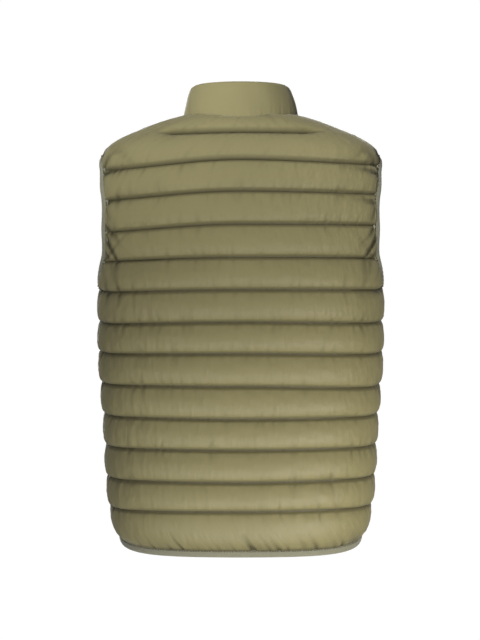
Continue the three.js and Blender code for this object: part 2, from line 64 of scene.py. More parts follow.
FORM_COLUMNS = ("z", "side", "back", "front", "power")
FORM = np.array([
    (-668, 168, 98, 100, 2.2),
    (-652, 175, 99, 102, 2.25),
    (-636, 182, 102, 106, 2.3),
    (-621, 188, 105, 110, 2.35),
    (-602, 193, 108, 112, 2.4),
    (-580, 197, 109, 113.5, 2.4),
    (-550, 199.5, 109, 114.5, 2.4),
    (-500, 202, 108, 115.5, 2.4),
    (-450, 205, 108, 116, 2.4),
    (-400, 209, 109, 116.5, 2.4),
    (-350, 212, 111, 117, 2.4),
    (-300, 212, 114, 118, 2.4),
    (-262, 213.5, 116.5, 118.5, 2.4),
    (-235, 218, 117.5, 118.5, 2.1),
    (-208, 225, 118, 118, 1.85),
    (-163, 235, 116.5, 114, 1.8),
    (-114, 235, 111, 103, 1.8),
    (-80, 220, 104, 89, 2),
    (-60, 210, 97, 76, 2.25),
    (-51, 203.5, 94, 71, 2.3),
    (-41, 190, 90.5, 64, 2.2),
    (-31, 171, 86, 56, 2.15),
    (-21, 147, 81, 49, 2.1),
    (-11, 121, 75, 40.5, 2.05),
    (-2, 94, 69, 33, 2),
    (8, 57, 60, 24, 2),
])

# Hem and stitch lines at the centre of the back, and how far they hang lower towards each side
LINE_COLUMNS = ("z", "left", "right")
LINES = np.array([
    (-653, -17, -18),
    (-593, 1, -2),
    (-550, -1, -3),
    (-502, -1, -2),
    (-456, -2, -2),
    (-407, -1, 3),
    (-358, 1, 2),
    (-311, 3, 2),
    (-263, 3, 0),
    (-215, 5, 0),
    (-166, 9, -1),
    (-117, 10, 1),
    (-70, 11, 3),
    (-28.6, 4, 2),
])
HEM_HEIGHT = LINES[0, 0]
LOWEST_CHANNEL = LINES[1, 0] - HEM_HEIGHT
ARMHOLE = {"top": -57, "bottom": -256, "middle": 2, "back": 51.5, "front": 60, "power": 2.2}
ARMHOLE_MIDDLE = (ARMHOLE["top"] + ARMHOLE["bottom"]) / 2
ARMHOLE_HALF = (ARMHOLE["top"] - ARMHOLE["bottom"]) / 2
NECK = {"side": 83.5, "back": 72, "front": 84}
NECK_LOWEST = -94.0
COLLAR_WALL = 9.0
COLLAR_HEIGHT = {"back": 58, "side": 40, "front": 60}
COLLAR_CORNER = 3.4  # so that the collar's ends are as square as in the photo
COLLAR_LEAN = {"back": 5, "side": 11, "front": 8}
ARMHOLE_BINDING = 10.5
HEM_BINDING = 9.0
BINDING_THICKNESS = 5.6
ZIP_BELOW = 8.0
ZIP_BELOW_TOP = 7.0
COIL_HALF = 3.0
TAPE_THICKNESS = 1.0
TAPE_STEP = 4.0

# How finely the cloth is divided, and how it is simulated
ROWS_PER_CHANNEL = 12
COLUMN_SIZE = 2.7
FEWEST_ROWS = 6
EVEN_ROWS = 0.55  # the rest of the rows' spacing brings them closer to the stitch lines
PANEL_WIDTH = {"back": 640.0, "front": 310.0}  # along the widest row, to count the columns
SECTION_STEPS = 91
NECK_HALVINGS = 24
SNAP_REACH = 1.6  # in columns: how far a border point moves onto its seam
SNAP_REACH_TRIMMED = 6.4
FAR = 1e9
CLOTH_FRAMES = 20
CLOTH_CAP = 7.0  # the most that the simulated cloth moves away from the quilted form
CLOTH_START = {"depth": 0.35, "size": 13, "seed": 11}
LINE_STEEPNESS = 0.6  # the lower, the sharper the valley along a stitch line
LINE_DEPTH = 2.2  # how far the thread pulls a stitch line in
LINE_WIDTH = 1.6
# Painted shade: near stitch lines and in folds the cloth's colour is darkened, out to LINE_SHADE from a
# line; each millimetre of a fold's depth counts as FOLD_SHADE closer to a line
LINE_SHADE = 4.5  # how far from a stitch line or a fold the cloth looks darker
FOLD_SHADE = 1.6
TOP_LINE_FADE = {"from": 95.0, "to": 135.0, "height": 26.0}
FADED_OUT = 0.9  # from here on the stitch line doesn't hold the cloth
FULL_CHANNEL = 0.95
INNER_QUILT = 1.2  # how far the quilting shows on the inside
ARMHOLE_CALM = 45.0  # over this distance from an armhole the cloth swells less
ARMHOLE_CALMEST = 0.2

# How much wider than the garment the cloth is cut, everywhere and near each edge, and how far that
# reaches from the edge
WIDER = {"everywhere": 0.018, "uneven": 0.008, "uneven_size": 160, "seed": 5}
WIDER_NEAR_COLUMNS = ("share", "back_reach", "front_reach")
WIDER_NEAR = {
    "side": (0.018, 70, 60),
    "armhole": (0.03, 45, 45),
    "neck": (0.03, 30, 30),
    "hem": (0.06, 26, 26),
}
TALLER = {"everywhere": 0.02, "armhole": 0.03}

# Smooth noise: how many waves, and how far their lengths and phases differ
WAVES = {"count": 14, "shortest": 0.6, "longest": 1.6, "phase": 6.3}

# Small folds gathered by a seam: how far apart, how deep and how long. side_depth is added next to
# the side seam, within its reach.
FOLD_COLUMNS = ("spacing", "depth", "length", "side_depth", "side_reach", "slant")
FOLD_WIDTH = (1.9, 4.2)
FOLD_SPACING_SPREAD = (0.4, 1.8)
FOLD_LENGTH_SPREAD = (0.5, 1.6)
FOLD_DEPTH_BIAS = 1.5  # the higher, the more of the folds are shallow
FOLD_REACH = 4  # in lengths: no fold is worked out farther from its seam
FOLD_CLEAR = 1.2  # the folds run out this close to their seam
FOLDS = {
    "line": (11, 1.2, 6, 5.0, 85, 0.3),
    "hem": (7.5, 5.0, 8, 0.4, 45, 0.15),
    "armhole": (10, 6.0, 18, 0, 1, 0.9),
    "neck": (14, 1.4, 7, 0, 1, 0.4),
}
FOLD_SEEDS = {"armhole": 40, "neck": 60, "line": 100}


def curve_of(rows, column):
    """A smooth curve through one column of a table against its first, with no overshoot."""
    x = rows[:, 0]
    y = rows[:, column]
    slope = np.diff(y) / np.diff(x)
    tangent = np.empty(len(x))
    tangent[0] = slope[0]
    tangent[-1] = slope[-1]
    both = slope[:-1] * slope[1:]
    total = slope[:-1] + slope[1:]
    tangent[1:-1] = np.where(both > 0, 2 * both / np.where(total == 0, 1, total), 0)

    def value(at):
        p = np.clip(at, x[0], x[-1])
        i = np.clip(np.searchsorted(x, p, side="left") - 1, 0, len(x) - 2)
        h = x[i + 1] - x[i]
        t = (p - x[i]) / h
        start = (2 * t**3 - 3 * t**2 + 1) * y[i] + (t**3 - 2 * t**2 + t) * h * tangent[i]
        return start + (3 * t**2 - 2 * t**3) * y[i + 1] + (t**3 - t**2) * h * tangent[i + 1]

    return value


form_side, form_back, form_front, form_power = (curve_of(FORM, c) for c in range(1, len(FORM_COLUMNS)))
drop_of = {hand: curve_of(LINES, LINE_COLUMNS.index(word)) for hand, word in ((1, "left"), (-1, "right"))}


def signed_power(x, p):
    return np.sign(x) * np.abs(x) ** p


def form_point(z, angle):
    bend = 2 / form_power(z)
    sine = np.sin(angle)
    depth = np.where(sine > 0, form_back(z), form_front(z))
    x = form_side(z) * signed_power(np.cos(angle), bend)
    return np.stack([x, depth * signed_power(sine, bend), z + 0 * x], -1)


def form_level(p):
    power = form_power(p[..., 2])
    depth = np.where(p[..., 1] > 0, form_back(p[..., 2]), form_front(p[..., 2]))
    return (np.abs(p[..., 0]) / form_side(p[..., 2])) ** power + (np.abs(p[..., 1]) / depth) ** power


def unit(v):
    return v / np.maximum(np.linalg.norm(v, axis=-1, keepdims=True), 1e-9)


def length_along(line):
    return np.concatenate([[0], np.cumsum(np.linalg.norm(np.diff(line, axis=0), axis=1))])


def form_normal(p):
    step = 0.5
    parts = []
    for axis in range(3):
        shift = np.zeros(3)
        shift[axis] = step
        parts.append(form_level(p + shift) - form_level(p - shift))
    return unit(np.stack(parts, -1))


def through_wall(p, height):
    normal = form_normal(p)
    normal[..., 2] *= np.clip((height - HEM_HEIGHT) / HEM_TURN, 0, 1)
    return unit(normal)


def front_angle(z):
    return -np.arccos((FRONT_GAP / 2 / form_side(z)) ** (form_power(z) / 2))


def along_section(z, start, end, share, inset_start, inset_end):
    """Points at shares of the length of level sections between two angles, and those lengths."""
    steps = np.linspace(0, 1, SECTION_STEPS)
    angles = start[:, None] + (end - start)[:, None] * steps
    points = form_point(z[:, None] + 0 * angles, angles)
    length = np.concatenate(
        [np.zeros((len(z), 1)), np.cumsum(np.linalg.norm(np.diff(points, axis=1), axis=2), axis=1)], axis=1
    )
    total = length[:, -1]
    distance = inset_start + (total - inset_start - inset_end) * share
    i = np.clip((length < distance[:, None]).sum(axis=1) - 1, 0, len(steps) - 2)
    row = np.arange(len(z))
    t = (distance - length[row, i]) / (length[row, i + 1] - length[row, i])
    return points[row, i] + (points[row, i + 1] - points[row, i]) * t[:, None], total


def drop_at(height, hand, share):
    distance = (1 - share) * form_side(height)
    lift = SEAM_LIFT_HEIGHT * (1 - np.clip(distance / SEAM_LIFT_REACH, 0, 1)) ** 2
    drop = np.sin(math.pi / 2 * np.minimum(1, share / FULL_DROP)) ** 2
    blend = np.clip((height - HEM_HEIGHT) / LOWEST_CHANNEL, 0, 1)
    corner = share**HEM_CORNER
    down = corner + (drop - corner) * blend
    seam_only = np.clip((height - HEM_HEIGHT) / HEM_TURN, 0, 1) * (height < ARMHOLE["bottom"])
    return np.where(hand > 0, drop_of[1](height), drop_of[-1](height)) * down - lift * seam_only


def back_points(height, share):
    outward = 2 * share - 1
    z = height - drop_at(height, np.where(outward < 0, 1, -1), np.abs(outward))
    start = np.zeros(len(z))
    return along_section(z, start, start + math.pi, share, SIDE_GAP / 2, SIDE_GAP / 2)


def front_points(hand, height, share):
    z = height - drop_at(height, hand, 1 - share)
    points, length = along_section(z, np.zeros(len(z)), front_angle(z), share, SIDE_GAP / 2, 0)
    points[:, 0] *= hand
    return points, length


def armhole_curve(hand, steps):
    turn = np.arange(steps) * 2 * math.pi / steps
    bend = 2 / ARMHOLE["power"]
    reach = np.where(np.cos(turn) > 0, ARMHOLE["back"], ARMHOLE["front"])
    y = ARMHOLE["middle"] + reach * signed_power(np.cos(turn), bend)
    z = ARMHOLE_MIDDLE + ARMHOLE_HALF * signed_power(np.sin(turn), bend)
    depth = np.where(y > 0, form_back(z), form_front(z))
    power = form_power(z)
    x = hand * form_side(z) * (1 - (np.abs(y) / depth) ** power) ** (1 / power)
    return np.stack([x, y, z], -1)


def neck_points(turn):
    sine = np.sin(turn)
    y = np.where(sine > 0, NECK["back"], NECK["front"]) * sine
    low = np.full(len(turn), float(ARMHOLE["bottom"]))
    high = np.full(len(turn), TOP_HEIGHT)
    point = np.stack([NECK["side"] * np.cos(turn), y, low], -1)
    for _ in range(NECK_HALVINGS):
        point[:, 2] = (low + high) / 2
        inside = form_level(point) < 1
        low = np.where(inside, point[:, 2], low)
        high = np.where(inside, high, point[:, 2])
    return point


CURVE_STEPS = 360
ARMHOLES = {hand: armhole_curve(hand, CURVE_STEPS) for hand in (1, -1)}
ARMHOLE_STEP = np.linalg.norm(np.diff(ARMHOLES[1], axis=0), axis=1).mean()
NECK_SEAM = neck_points(np.arange(CURVE_STEPS) * 2 * math.pi / CURVE_STEPS)
NECK_STEP = np.linalg.norm(np.diff(NECK_SEAM, axis=0), axis=1).mean()


def nearest(points, curve):
    """The distance to a curve's nearest point, and that point's index."""
    best = np.full(len(points), FAR)
    index = np.zeros(len(points), int)
    for i, c in enumerate(curve):
        d = ((points - c) ** 2).sum(axis=1)
        closer = d < best
        best[closer] = d[closer]
        index[closer] = i
    return np.sqrt(best), index


def in_armhole(p, hand):
    dy = p[:, 1] - ARMHOLE["middle"]
    reach = np.where(dy > 0, ARMHOLE["back"], ARMHOLE["front"])
    dz = p[:, 2] - ARMHOLE_MIDDLE
    level = (np.abs(dy) / reach) ** ARMHOLE["power"] + (np.abs(dz) / ARMHOLE_HALF) ** ARMHOLE["power"]
    return (level < 1) & (p[:, 0] * hand > NECK["side"])


def in_neck(p):
    reach = np.where(p[:, 1] > 0, NECK["back"], NECK["front"])
    level = (p[:, 0] / NECK["side"]) ** 2 + (p[:, 1] / reach) ** 2
    return (level < 1) & (p[:, 2] > NECK_LOWEST)


def pinch(distance, reach):
    return np.sqrt(1 - (1 - np.clip(distance / reach, 0, 1)) ** 2)


def waves(p, size, seed):
    """Smooth noise from a few seeded sine waves, about -1 to 1."""
    rng = np.random.RandomState(seed)
    value = np.zeros(len(p))
    for _ in range(WAVES["count"]):
        direction = unit(rng.normal(size=3))
        pace = 2 * math.pi / size * rng.uniform(WAVES["shortest"], WAVES["longest"])
        value += np.sin(p @ direction * pace + rng.uniform(0, WAVES["phase"]))
    return value / math.sqrt(WAVES["count"])


def folds(kind, along, away, side, seed):
    """How deep a seam's small folds press into the cloth, at distances along it and away from it."""
    fold = dict(zip(FOLD_COLUMNS, FOLDS[kind]))
    rng = np.random.RandomState(seed)
    depth = fold["depth"] + fold["side_depth"] * np.exp(-side / fold["side_reach"])
    pressed = np.zeros(len(along))
    near = away < FOLD_REACH * fold["length"]
    at = along.min()
    while at < along.max():
        at += fold["spacing"] * rng.uniform(*FOLD_SPACING_SPREAD)
        slanted = rng.uniform(-fold["slant"], fold["slant"]) * away[near]
        across = (along[near] - at - slanted) / rng.uniform(*FOLD_WIDTH)
        reach = fold["length"] * rng.uniform(*FOLD_LENGTH_SPREAD)
        deep = depth[near] * rng.uniform(0, 1) ** FOLD_DEPTH_BIAS
        pressed[near] += deep * np.exp(-(across**2) - away[near] / reach)
    return pressed * (1 - np.exp(-away / FOLD_CLEAR))


def channel_rows():
    """Height, share of its channel and channel height for every row of a panel, from the hem up."""
    edges = np.append(LINES[:, 0], TOP_HEIGHT)
    height, share, size = [], [], []
    for low, high in zip(edges[:-1], edges[1:]):
        count = max(FEWEST_ROWS, round(ROWS_PER_CHANNEL * (high - low) / PUFF_CHANNEL))
        for i in range(count):
            # Rows stand closer together along the stitch lines
            t = 0.5 - 0.5 * math.cos(math.pi * i / count)
            s = (1 - EVEN_ROWS) * t + EVEN_ROWS * i / count
            height.append(low + (high - low) * s)
            share.append(s)
            size.append(high - low)
    height.append(TOP_HEIGHT)
    share.append(1.0)
    size.append(high - low)
    return np.array(height), np.array(share), np.array(size)


class Panel:
    """A padded panel: its grid on the form, the outer side before and after the cloth is simulated."""

    def __init__(self, name, hand):
        self.name = name
        self.hand = hand
        rows, share_in_channel, channel = channel_rows()
        width = PANEL_WIDTH["back" if hand == 0 else "front"]
        columns = np.linspace(0, 1, round(width / COLUMN_SIZE) + 1)
        self.shape = (len(rows), len(columns))
        height = np.repeat(rows, len(columns))
        share = np.tile(columns, len(rows))
        if hand == 0:
            point, length = back_points(height, share)
            side = length * np.minimum(share, 1 - share)
        else:
            point, length = front_points(hand, height, share)
            side = length * share
        near_arm = np.full(len(point), FAR)
        along_arm = np.zeros(len(point))
        removed = in_neck(point)
        curves = [NECK_SEAM]
        for h in (1, -1):
            if hand in (0, h):
                distance, index = nearest(point, ARMHOLES[h])
                along_arm = np.where(distance < near_arm, index * ARMHOLE_STEP, along_arm)
                near_arm = np.minimum(near_arm, distance)
                removed |= in_armhole(point, h)
                curves.append(ARMHOLES[h])
        near_neck, neck_index = nearest(point, NECK_SEAM)
        self.keep_faces(removed)
        self.snap(point, curves, removed)
        zip_side = length * (1 - share) if hand else np.full(len(point), FAR)
        edges = [side, near_neck, height - HEM_HEIGHT, zip_side]
        clear = np.minimum.reduce([pinch(near_arm, ARMHOLE_PINCH)] + [pinch(d, SEAM_PINCH) for d in edges])
        s = np.tile(share_in_channel[:, None], len(columns)).ravel()
        fill = np.sin(math.pi * s**SAG) ** LINE_STEEPNESS
        fill[(s == 0) | (s == 1)] = 0
        faded = self.top_line_faded(point, height)
        fill += np.maximum(FULL_CHANNEL - fill, 0) * faded
        puff = PUFF * np.minimum(1, np.repeat(channel, len(columns)) / PUFF_CHANNEL)
        from_side = np.clip(np.abs(point[:, 1]) / SIDE_PUFF_REACH, 0, 1)
        full = SIDE_PUFF_SHARE + (1 - SIDE_PUFF_SHARE) * from_side
        self.fill = fill * full * clear
        self.point = point
        self.normal = through_wall(point, height)
        tall = np.repeat(channel, len(columns))
        self.line_distance = np.minimum(s, 1 - s) * tall
        self.line_distance += LINE_SHADE * faded
        valley = LINE_DEPTH * np.exp(-((self.line_distance / LINE_WIDTH) ** 2)) * clear
        self.outer = point + self.normal * (EDGE_WALL + puff * self.fill - valley)[:, None]
        self.near_arm = near_arm
        self.near_side = side
        self.near_neck = near_neck
        self.near_hem = height - HEM_HEIGHT
        self.on_line = (np.isclose(s, 0) | np.isclose(s, 1)) & (faded < FADED_OUT)
        self.pressed = self.gathers(height, s, tall, length * share, along_arm, neck_index * NECK_STEP)
        self.u = length * share
        self.v = height
        self.used = np.zeros(len(point), bool)
        self.used[self.faces.ravel()] = True
        self.border = self.border_points()

    def top_line_faded(self, point, height):
        """How far the uppermost stitch line has run out, as it does towards each shoulder."""
        start, end = TOP_LINE_FADE["from"], TOP_LINE_FADE["to"]
        outward = np.clip((np.abs(point[:, 0]) - start) / (end - start), 0, 1)
        near = 1 - np.clip(np.abs(height - LINES[-1, 0]) / TOP_LINE_FADE["height"], 0, 1) ** 2
        return near * outward**2 * (3 - 2 * outward)

    def gathers(self, height, share, tall, along, along_arm, along_neck):
        """The small folds of all the seams and stitch lines round this panel."""
        seed = {kind: number + self.hand for kind, number in FOLD_SEEDS.items()}
        pressed = folds("armhole", along_arm, self.near_arm, self.near_side, seed["armhole"])
        pressed += folds("neck", along_neck, self.near_neck, self.near_side, seed["neck"])
        edges = np.append(LINES[:, 0], TOP_HEIGHT)
        for number, (low, high) in enumerate(zip(edges[:-1], edges[1:])):
            inside = (height >= low) & (height < high)
            # On top of the shoulders only the small folds stay
            side = self.near_side[inside] if low < LINES[-2, 0] else np.full(inside.sum(), FAR)
            kinds = ("hem" if number == 0 else "line", "line")
            aways = (share * tall, (1 - share) * tall)
            for kind, away, line in zip(kinds, aways, (number, number + 1)):
                of_line = seed["line"] + 3 * line
                pressed[inside] += folds(kind, along[inside], away[inside], side, of_line)
        return pressed

    def keep_faces(self, removed):
        rows, columns = self.shape
        index = np.arange(rows * columns).reshape(rows, columns)
        corners = [index[:-1, :-1], index[:-1, 1:], index[1:, 1:], index[1:, :-1]]
        quads = np.stack(corners, -1).reshape(-1, 4)
        self.faces = quads[removed[quads].sum(axis=1) <= 2]
        if self.hand == 1:
            self.faces = self.faces[:, ::-1]

    def border_edges(self):
        """The open edges of the kept faces, each in its face's direction."""
        edges = np.concatenate([self.faces[:, [i, (i + 1) % 4]] for i in range(4)])
        size = self.shape[0] * self.shape[1]
        codes = edges[:, 0] * size + edges[:, 1]
        back = edges[:, 1] * size + edges[:, 0]
        return edges[~np.isin(codes, back)]

    def border_points(self):
        border = np.zeros(self.shape[0] * self.shape[1], bool)
        border[self.border_edges().ravel()] = True
        return border

    def snap(self, point, curves, removed):
        """Moves the ragged border at the armholes and the neck onto their curves."""
        border = self.border_points()
        for curve in curves:
            near, index = nearest(point[border], curve)
            where = np.flatnonzero(border)
            trimmed = removed[where] & (near < SNAP_REACH_TRIMMED * COLUMN_SIZE)
            close = (near < SNAP_REACH * COLUMN_SIZE) | trimmed
            point[where[close]] = curve[index[close]]

    def rest(self):
        """The cloth's own size: wider than the garment wherever it is gathered."""
        p = self.outer
        near = {
            "side": self.near_side, "armhole": self.near_arm, "neck": self.near_neck, "hem": self.near_hem
        }
        column = WIDER_NEAR_COLUMNS.index("back_reach" if self.hand == 0 else "front_reach")
        across = WIDER["everywhere"]
        for edge, row in WIDER_NEAR.items():
            across = across + row[0] * np.exp(-near[edge] / row[column])
        across += WIDER["uneven"] * waves(p, WIDER["uneven_size"], WIDER["seed"])
        by_arm = np.exp(-self.near_arm / WIDER_NEAR["armhole"][column])
        up = TALLER["everywhere"] + TALLER["armhole"] * by_arm
        z = p[:, 2] + up * (p[:, 2] - ARMHOLE_MIDDLE)
        return np.stack([p[:, 0] * (1 + across), p[:, 1] * (1 + across), z], -1)

    def cloth_object(self):
        """The outer side as a mesh with Blender's Cloth, pinned along its seams and stitch lines."""
        index = np.flatnonzero(self.used)
        back = np.full(len(self.used), -1)
        back[index] = np.arange(len(index))
        uneven = CLOTH_START["depth"] * waves(self.outer, CLOTH_START["size"], CLOTH_START["seed"])
        start = self.outer + self.normal * (uneven * (~self.on_line))[:, None]
        start[self.border] = self.outer[self.border]
        mesh = bpy.data.meshes.new(self.name + "_cloth")
        mesh.from_pydata((start[index] * MM).tolist(), [], back[self.faces].tolist())
        obj = bpy.data.objects.new(self.name + "_cloth", mesh)
        bpy.context.scene.collection.objects.link(obj)
        pinned = self.on_line | self.border
        group = obj.vertex_groups.new(name="pin")
        group.add(back[np.flatnonzero(pinned & self.used)].tolist(), 1.0, "REPLACE")
        obj.shape_key_add(name="Basis")
        rest = obj.shape_key_add(name="Rest")
        rest.data.foreach_set("co", (self.rest()[index] * MM).ravel())
        rest.value = 0
        cloth = obj.modifiers.new("Cloth", "CLOTH")
        settings = cloth.settings
        settings.quality = 6
        settings.mass = 0.15
        settings.tension_stiffness = 18
        settings.compression_stiffness = 18
        settings.shear_stiffness = 4
        settings.bending_stiffness = 0.18
        settings.tension_damping = 8
        settings.compression_damping = 8
        settings.bending_damping = 0.8
        settings.air_damping = 3
        settings.use_pressure = True
        settings.uniform_pressure_force = 3.2
        settings.rest_shape_key = rest
        settings.vertex_group_mass = "pin"
        settings.effector_weights.gravity = 0
        cloth.collision_settings.use_collision = False
        cloth.collision_settings.use_self_collision = False
        cloth.point_cache.frame_start = 1
        cloth.point_cache.frame_end = CLOTH_FRAMES
        return obj, index

    def take_result(self, obj, index):
        graph = bpy.context.evaluated_depsgraph_get()
        made = obj.evaluated_get(graph)
        co = np.empty(len(index) * 3)
        made.data.vertices.foreach_get("co", co)
        result = co.reshape(-1, 3) / MM
        move = result - self.outer[index]
        size = np.linalg.norm(move, axis=1, keepdims=True)
        move *= CLOTH_CAP * np.tanh(size / CLOTH_CAP) / np.maximum(size, 1e-6)
        move *= np.clip(self.near_arm[index] / ARMHOLE_CALM, ARMHOLE_CALMEST, 1)[:, None]
        self.outer[index] += move
        free = ~self.border[index]
        self.outer[index[free]] -= self.normal[index[free]] * self.pressed[index[free], None]
        bpy.data.objects.remove(obj)

    def finished_mesh(self):
        """The closed wall: the simulated outside, a shallowly quilted inside and the rim between."""
        inner = self.point - self.normal * (INNER_QUILT * self.fill)[:, None]
        inner[self.border] = self.point[self.border]
        index = np.flatnonzero(self.used)
        count = len(index)
        back = np.full(len(self.used), -1)
        back[index] = np.arange(count)
        outside = back[self.faces]
        inside = outside[:, ::-1] + count
        rim = back[self.border_edges()]
        around = np.stack([rim[:, 1], rim[:, 0], rim[:, 0] + count, rim[:, 1] + count], -1)
        points = np.concatenate([self.outer[index], inner[index]]) * MM
        faces = np.concatenate([outside, inside, around])
        # Painted shade: the material darkens the cloth's colour by this value, near stitch lines and more
        # in deeper folds
        shade = np.minimum(self.line_distance, LINE_SHADE - FOLD_SHADE * self.pressed)
        line = np.concatenate([shade[index]] * 2)
        uv = np.concatenate([np.stack([self.u[index], self.v[index]], -1)] * 2) * MM
        return points, faces, line, uv


def new_mesh(name, points, faces, material):
    mesh = bpy.data.meshes.new(name)
    mesh.from_pydata([tuple(p) for p in points], [], [tuple(int(i) for i in f) for f in faces])
    mesh.materials.append(material)
    mesh.update()
    mesh.shade_smooth()
    obj = bpy.data.objects.new(name, mesh)
    bpy.context.scene.collection.objects.link(obj)
    return obj


def add_values(obj, uv, line):
    """A UV map and each point's distance from a stitch line (for the panels, less in folds), which the
    material uses for puckers and painted shade.
    """
    mesh = obj.data
    layer = mesh.uv_layers.new(name="cloth")
    corner = np.empty(len(mesh.loops), int)
    mesh.loops.foreach_get("vertex_index", corner)
    layer.data.foreach_set("uv", uv[corner].ravel())
    attribute = mesh.attributes.new("line_distance", "FLOAT", "POINT")
    attribute.data.foreach_set("value", line.astype(float))


# Materials
# Painted shade: right at a stitch line, over the width of its thread, the colour is darkest, the thread's
# own dark colour together with painted shade; it lightens out to LINE_SHADE
LINE_THREAD_AND_SHADE = 0.3  # this close to a stitch line the cloth is darkest and puckered most
LINE_DARKEST = 0.26
PUCKER_REACH = 11
PUCKER_LEAST = 0.05
NYLON_NOISE = {"puckers": ((150, 38, 1), 2), "crumple": ((9, 60, 1), 3), "weave": ((2600, 2600, 1), 1)}
CRUMPLE_SHARE = 0.25
WEAVE_SHARE = 0.05
METAL_ROUGHNESS = (0.28, 0.5)


def node_material(name, roughness, base):
    material = bpy.data.materials.new(name)
    material.use_nodes = True
    shader = material.node_tree.nodes["Principled BSDF"]
    shader.inputs["Roughness"].default_value = roughness
    shader.inputs["Base Color"].default_value = (*base, 1)
    return material, material.node_tree, shader


def link_noise(tree, vector, scale, detail):
    noise = tree.nodes.new("ShaderNodeTexNoise")
    noise.inputs["Scale"].default_value = scale
    noise.inputs["Detail"].default_value = detail
    tree.links.new(vector, noise.inputs["Vector"])
    return noise.outputs["Fac"]


def math_node(tree, operation, a, b):
    node = tree.nodes.new("ShaderNodeMath")
    node.operation = operation
    for socket, value in zip(node.inputs, (a, b)):
        if isinstance(value, (int, float)):
            socket.default_value = value
        else:
            tree.links.new(value, socket)
    return node.outputs[0]


def scaled(tree, vector, scale):
    node = tree.nodes.new("ShaderNodeVectorMath")
    node.operation = "MULTIPLY"
    node.inputs[1].default_value = scale
    tree.links.new(vector, node.inputs[0])
    return node.outputs[0]


def map_range(tree, value, from_range, to_range):
    node = tree.nodes.new("ShaderNodeMapRange")
    for word, (low, high) in (("From", from_range), ("To", to_range)):
        node.inputs[word + " Min"].default_value = low
        node.inputs[word + " Max"].default_value = high
    tree.links.new(value, node.inputs["Value"])
    return node.outputs["Result"]


def ramp(tree, value, stops):
    node = tree.nodes.new("ShaderNodeValToRGB")
    elements = node.color_ramp.elements
    while len(elements) < len(stops):
        elements.new(0.5)
    for element, (position, color) in zip(elements, stops):
        element.position = position
        element.color = (*color, 1)
    tree.links.new(value, node.inputs["Fac"])
    return node.outputs["Color"]


def nylon(name):
    """Smooth woven nylon: soft sheen, slightly uneven dye, small puckers along the stitch lines, and
    painted shade along the stitch lines and in folds.
    """
    material, tree, shader = node_material(name, 0.5, (0.2, 0.18, 0.1))
    place = tree.nodes.new("ShaderNodeTexCoord").outputs["Object"]
    flat = tree.nodes.new("ShaderNodeUVMap").outputs["UV"]
    uneven = link_noise(tree, place, 3.0, 3)
    color = ramp(tree, uneven, [(0.3, (0.205, 0.186, 0.093)), (0.7, (0.245, 0.220, 0.108))])
    shader.inputs["Sheen Weight"].default_value = 0.25
    shader.inputs["Sheen Roughness"].default_value = 0.4
    shader.inputs["Sheen Tint"].default_value = (0.9, 0.86, 0.7, 1)
    shader.inputs["Specular IOR Level"].default_value = 0.35
    distance = tree.nodes.new("ShaderNodeAttribute")
    distance.attribute_name = "line_distance"
    near = map_range(tree, distance.outputs["Fac"], (LINE_THREAD_AND_SHADE, PUCKER_REACH), (1, PUCKER_LEAST))
    # Painted shade: the base colour darkens towards stitch lines, the collar's foot and folds, where the
    # grooves fall into shade
    painted_line_shade = map_range(tree, distance.outputs["Fac"], (LINE_THREAD_AND_SHADE, LINE_SHADE), (LINE_DARKEST, 1))
    darker = tree.nodes.new("ShaderNodeVectorMath")
    darker.operation = "SCALE"
    tree.links.new(color, darker.inputs[0])
    tree.links.new(painted_line_shade, darker.inputs["Scale"])
    tree.links.new(darker.outputs[0], shader.inputs["Base Color"])
    puckers, crumple, weave = (
        link_noise(tree, scaled(tree, flat, scale), 1.0, detail) for scale, detail in NYLON_NOISE.values()
    )
    height = math_node(tree, "MULTIPLY", puckers, near)
    height = math_node(tree, "ADD", height, math_node(tree, "MULTIPLY", crumple, CRUMPLE_SHARE))
    height = math_node(tree, "ADD", height, math_node(tree, "MULTIPLY", weave, WEAVE_SHARE))
    bump = tree.nodes.new("ShaderNodeBump")
    bump.inputs["Strength"].default_value = 0.8
    bump.inputs["Distance"].default_value = 0.002
    tree.links.new(height, bump.inputs["Height"])
    tree.links.new(bump.outputs["Normal"], shader.inputs["Normal"])
    return material


def knit(name, dark, light, ribs):
    """Elastic binding or woven tape: fine ribs, matt."""
    material, tree, shader = node_material(name, 0.8, light)
    flat = tree.nodes.new("ShaderNodeUVMap").outputs["UV"]
    wave = tree.nodes.new("ShaderNodeTexWave")
    wave.inputs["Scale"].default_value = ribs
    wave.inputs["Distortion"].default_value = 0.6
    tree.links.new(flat, wave.inputs["Vector"])
    grain = link_noise(tree, scaled(tree, flat, (500, 900, 1)), 1.0, 2)
    mixed = math_node(tree, "ADD", math_node(tree, "MULTIPLY", wave.outputs["Fac"], 0.5), grain)
    tree.links.new(ramp(tree, mixed, [(0.3, dark), (0.9, light)]), shader.inputs["Base Color"])
    shader.inputs["Sheen Weight"].default_value = 0.3
    bump = tree.nodes.new("ShaderNodeBump")
    bump.inputs["Strength"].default_value = 0.5
    bump.inputs["Distance"].default_value = 0.0006
    tree.links.new(mixed, bump.inputs["Height"])
    tree.links.new(bump.outputs["Normal"], shader.inputs["Normal"])
    return material


def painted_metal(name):
    material, tree, shader = node_material(name, 0.35, (0.11, 0.105, 0.07))
    shader.inputs["Metallic"].default_value = 0.6
    place = tree.nodes.new("ShaderNodeTexCoord").outputs["Object"]
    rough = map_range(tree, link_noise(tree, place, 400, 3), (0, 1), METAL_ROUGHNESS)
    tree.links.new(rough, shader.inputs["Roughness"])
    return material


